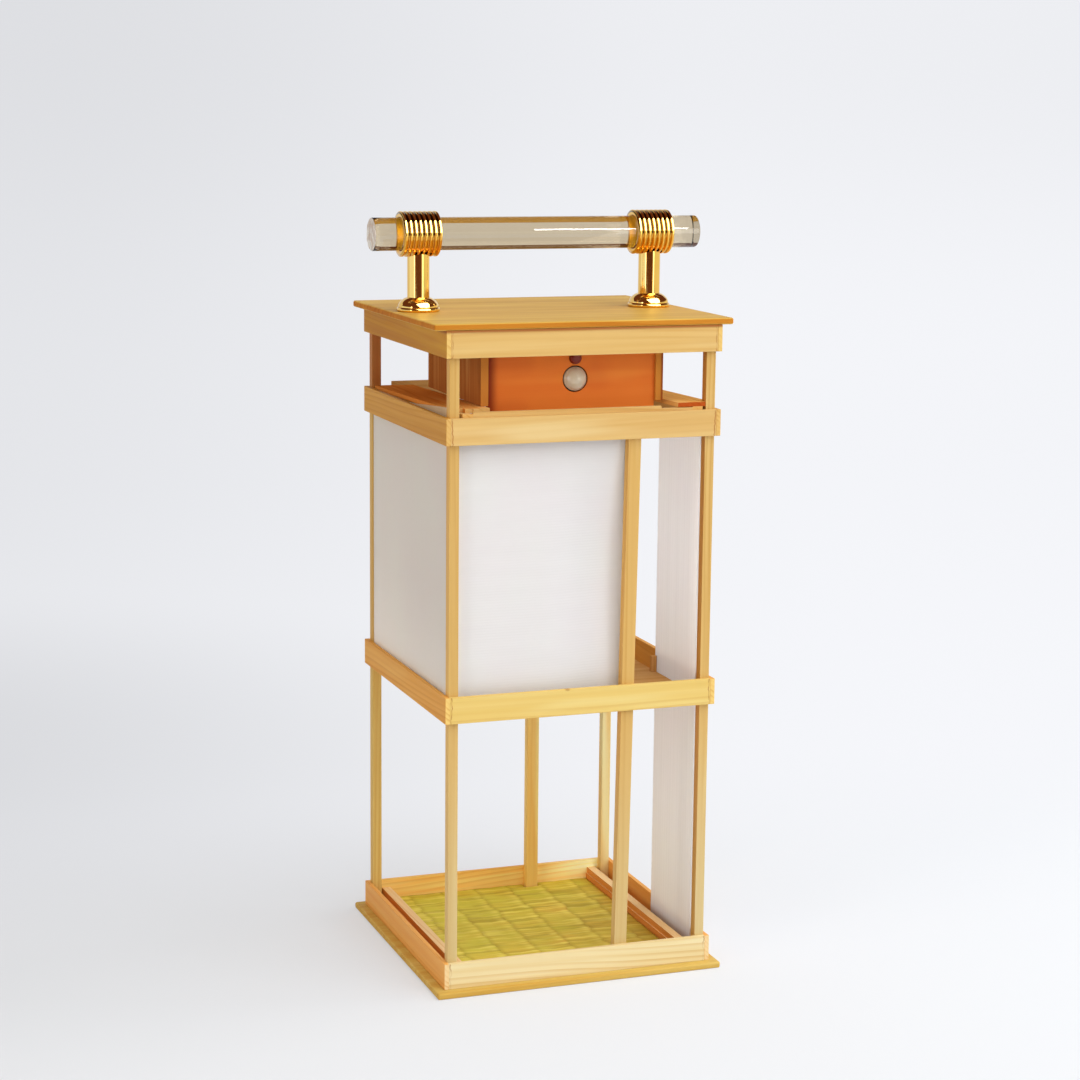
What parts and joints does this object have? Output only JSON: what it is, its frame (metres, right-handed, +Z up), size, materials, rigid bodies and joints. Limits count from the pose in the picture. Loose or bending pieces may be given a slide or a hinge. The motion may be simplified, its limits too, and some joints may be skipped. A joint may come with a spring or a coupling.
{
  "type": "lantern",
  "caption": "Square timber-framed paper lantern on a board with a rush mat, sliding paper panels, a motion-sensor light under the lid and a rod handle on two stems.",
  "frame": {"origin": "centre of the base board's underside", "axes": "+Z up through the handle, +X to the right along the front, +Y to the back"},
  "size_m": [0.2638, 0.23, 0.5809],
  "materials": {
    "frame_wood": "planed, unvarnished pale cypress",
    "box_wood": "planed, warmer orange wood",
    "paper": "laid washi paper on a thin backing",
    "tatami": "woven rush",
    "handle_bar": "clear acrylic, polished",
    "gold": "polished",
    "screw_steel": "zinc plated",
    "lens_plastic": "milky",
    "button_plastic": "glossy",
    "circuit_board": "solder mask",
    "led_resin": "clear resin",
    "black_plastic": "moulded",
    "cell_jacket": "plain sleeve"
  },
  "bodies": {
    "lantern": {"back_plate_screws": "screw_steel", "base_board": "frame_wood", "base_rail_back": "frame_wood", "base_rail_front": "frame_wood", "base_rail_left": "frame_wood", "base_rail_right": "frame_wood", "base_strip_left": "frame_wood", "base_strip_right": "frame_wood", "battery_cells": "cell_jacket", "battery_holder": "black_plastic", "box_back_plate": "box_wood", "box_corner_blocks": "box_wood", "box_floor": "box_wood", "box_front_plate": "box_wood", "box_side_left": "box_wood", "box_side_right": "box_wood", "cleats": "frame_wood", "handle_collars": "gold", "handle_feet": "gold", "handle_rod": "handle_bar", "handle_screws": "screw_steel", "handle_stem_left": "gold", "handle_stem_right": "gold", "keeper_left": "frame_wood", "keeper_right": "frame_wood", "led_board": "circuit_board", "led_spacers": "black_plastic", "leds": "led_resin", "lid_board": "frame_wood", "light_diffuser": "lens_plastic", "mid_rail_back": "frame_wood", "mid_rail_front": "frame_wood", "mid_rail_left": "frame_wood", "mid_rail_right": "frame_wood", "mid_shelf": "frame_wood", "panel_back": "paper", "panel_front": "paper", "panel_stop": "box_wood", "post_back_left": "frame_wood", "post_back_right": "frame_wood", "post_front_left": "frame_wood", "post_front_right": "frame_wood", "sensor_board": "circuit_board", "sensor_lens": "lens_plastic", "stile_back": "frame_wood", "stile_front": "frame_wood", "tatami_mat": "tatami", "top_rail_back": "frame_wood", "top_rail_front": "frame_wood", "top_rail_left": "frame_wood", "top_rail_right": "frame_wood", "upper_rail_back": "frame_wood", "upper_rail_front": "frame_wood", "upper_rail_left": "frame_wood", "upper_rail_right": "frame_wood", "upper_strips": "frame_wood"},
    "right_panel": {"panel_right": "paper"},
    "left_panel": {"panel_left": "paper"},
    "mode_button": {"mode_button": "button_plastic"}
  },
  "joints": [
    {"name": "right_panel_slide", "type": "slide", "parent": "lantern", "child": "right_panel", "axis": [0, 1, 0], "range_m": [-0.0147, 0.0987]},
    {"name": "left_panel_lift", "type": "slide", "parent": "lantern", "child": "left_panel", "axis": [0, 0, 1], "range_m": [0, 0.0565]},
    {"name": "mode_button_press", "type": "slide", "parent": "lantern", "child": "mode_button", "axis": [0, 1, 0], "range_m": [0, 0.0015], "stiffness_N_per_m": 1000}
  ]
}
